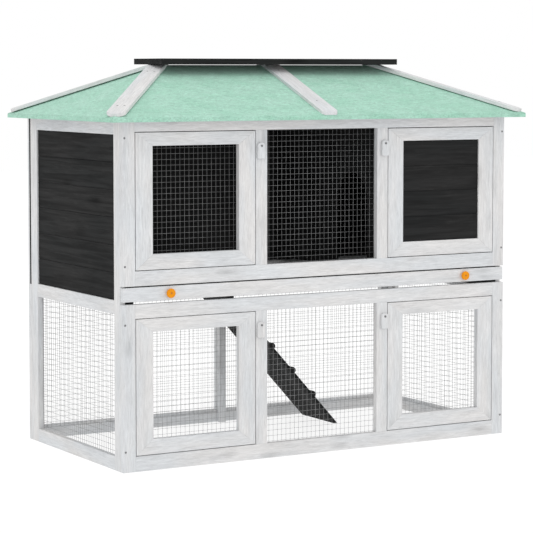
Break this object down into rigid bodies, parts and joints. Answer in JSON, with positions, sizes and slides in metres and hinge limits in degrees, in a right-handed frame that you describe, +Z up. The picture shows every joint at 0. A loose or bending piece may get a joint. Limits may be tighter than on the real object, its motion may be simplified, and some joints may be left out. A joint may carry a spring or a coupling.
{
  "type": "rabbit hutch",
  "caption": "Two-storey wooden rabbit hutch: mesh run below, cabin and nest box above, hipped felt roof, hinged doors with turn buttons, pull-out tray and a ladder.",
  "frame": {"origin": "on the floor, under the middle of the roof", "axes": "+X to the right seen from the front, +Y from the doors to the back, +Z up"},
  "size_m": [1.236, 0.642, 1.0194],
  "materials": {
    "whitewashed_wood": "matt whitewash with faint grey grain",
    "black_stained_wood": "matt black stain with faint grain",
    "green_felt": "mineral-faced roofing felt, matt",
    "galvanised_mesh": "galvanised",
    "steel_fixing": "zinc plated",
    "orange_knob": "satin"
  },
  "bodies": {
    "hutch": {"back_lower_frame": "whitewashed_wood", "back_lower_mesh": "galvanised_mesh", "back_lower_post": "whitewashed_wood", "back_panel": "black_stained_wood", "back_upper_rail": "whitewashed_wood", "back_upper_trim": "whitewashed_wood", "batten_screws": "steel_fixing", "door_pivot_pins": "steel_fixing", "door_stops": "whitewashed_wood", "frame_screws": "steel_fixing", "front_lower_mullions": "whitewashed_wood", "front_lower_rails": "whitewashed_wood", "front_lower_stiles": "whitewashed_wood", "front_upper_mullions": "whitewashed_wood", "front_upper_rails": "whitewashed_wood", "front_upper_stiles": "whitewashed_wood", "ladder_block": "black_stained_wood", "ladder_cleats": "black_stained_wood", "ladder_plank": "black_stained_wood", "latch_screws": "steel_fixing", "partition": "black_stained_wood", "ridge_board": "black_stained_wood", "roof_bearers": "whitewashed_wood", "roof_boards": "whitewashed_wood", "roof_felt_back": "green_felt", "roof_felt_front": "green_felt", "roof_felt_left": "green_felt", "roof_felt_right": "green_felt", "roof_hip_battens": "whitewashed_wood", "roof_mid_battens": "whitewashed_wood", "side_left_mesh": "galvanised_mesh", "side_left_panel": "black_stained_wood", "side_left_rails": "whitewashed_wood", "side_left_stiles": "whitewashed_wood", "side_right_mesh": "galvanised_mesh", "side_right_panel": "black_stained_wood", "side_right_rails": "whitewashed_wood", "side_right_stiles": "whitewashed_wood", "tray_runners": "black_stained_wood", "window_lower_mesh": "galvanised_mesh", "window_upper_mesh": "galvanised_mesh"},
    "lower_left_door": {"door_lower_left_frame": "whitewashed_wood", "door_lower_left_mesh": "galvanised_mesh"},
    "lower_right_door": {"door_lower_right_frame": "whitewashed_wood", "door_lower_right_mesh": "galvanised_mesh"},
    "upper_left_door": {"door_upper_left_frame": "whitewashed_wood", "door_upper_left_mesh": "galvanised_mesh"},
    "upper_right_door": {"door_upper_right_frame": "whitewashed_wood", "door_upper_right_panel": "black_stained_wood"},
    "lower_left_latch": {"latch_lower_left": "whitewashed_wood"},
    "lower_right_latch": {"latch_lower_right": "whitewashed_wood"},
    "upper_left_latch": {"latch_upper_left": "whitewashed_wood"},
    "upper_right_latch": {"latch_upper_right": "whitewashed_wood"},
    "drawer": {"drawer_floor": "black_stained_wood", "drawer_front": "whitewashed_wood", "drawer_knobs": "orange_knob", "drawer_rims": "black_stained_wood", "knob_screws": "steel_fixing"}
  },
  "joints": [
    {"name": "lower_left_door_hinge", "type": "hinge", "parent": "hutch", "child": "lower_left_door", "pos_m": [-0.533, -0.278, 0.209], "axis": [0, 0, -1], "range_deg": [0, 110]},
    {"name": "lower_right_door_hinge", "type": "hinge", "parent": "hutch", "child": "lower_right_door", "pos_m": [0.533, -0.278, 0.209], "axis": [0, 0, 1], "range_deg": [0, 110]},
    {"name": "upper_left_door_hinge", "type": "hinge", "parent": "hutch", "child": "upper_left_door", "pos_m": [-0.533, -0.278, 0.668], "axis": [0, 0, -1], "range_deg": [0, 110]},
    {"name": "upper_right_door_hinge", "type": "hinge", "parent": "hutch", "child": "upper_right_door", "pos_m": [0.533, -0.278, 0.668], "axis": [0, 0, 1], "range_deg": [0, 110]},
    {"name": "lower_left_latch_turn", "type": "hinge", "parent": "hutch", "child": "lower_left_latch", "pos_m": [-0.187, -0.287, 0.344], "axis": [0, 1, 0], "continuous": true},
    {"name": "lower_right_latch_turn", "type": "hinge", "parent": "hutch", "child": "lower_right_latch", "pos_m": [0.187, -0.287, 0.344], "axis": [0, -1, 0], "continuous": true},
    {"name": "upper_left_latch_turn", "type": "hinge", "parent": "hutch", "child": "upper_left_latch", "pos_m": [-0.187, -0.287, 0.799], "axis": [0, 1, 0], "continuous": true},
    {"name": "upper_right_latch_turn", "type": "hinge", "parent": "hutch", "child": "upper_right_latch", "pos_m": [0.187, -0.287, 0.799], "axis": [0, -1, 0], "continuous": true},
    {"name": "drawer_slide", "type": "slide", "parent": "hutch", "child": "drawer", "axis": [0, -1, 0], "range_m": [0, 0.4]}
  ]
}
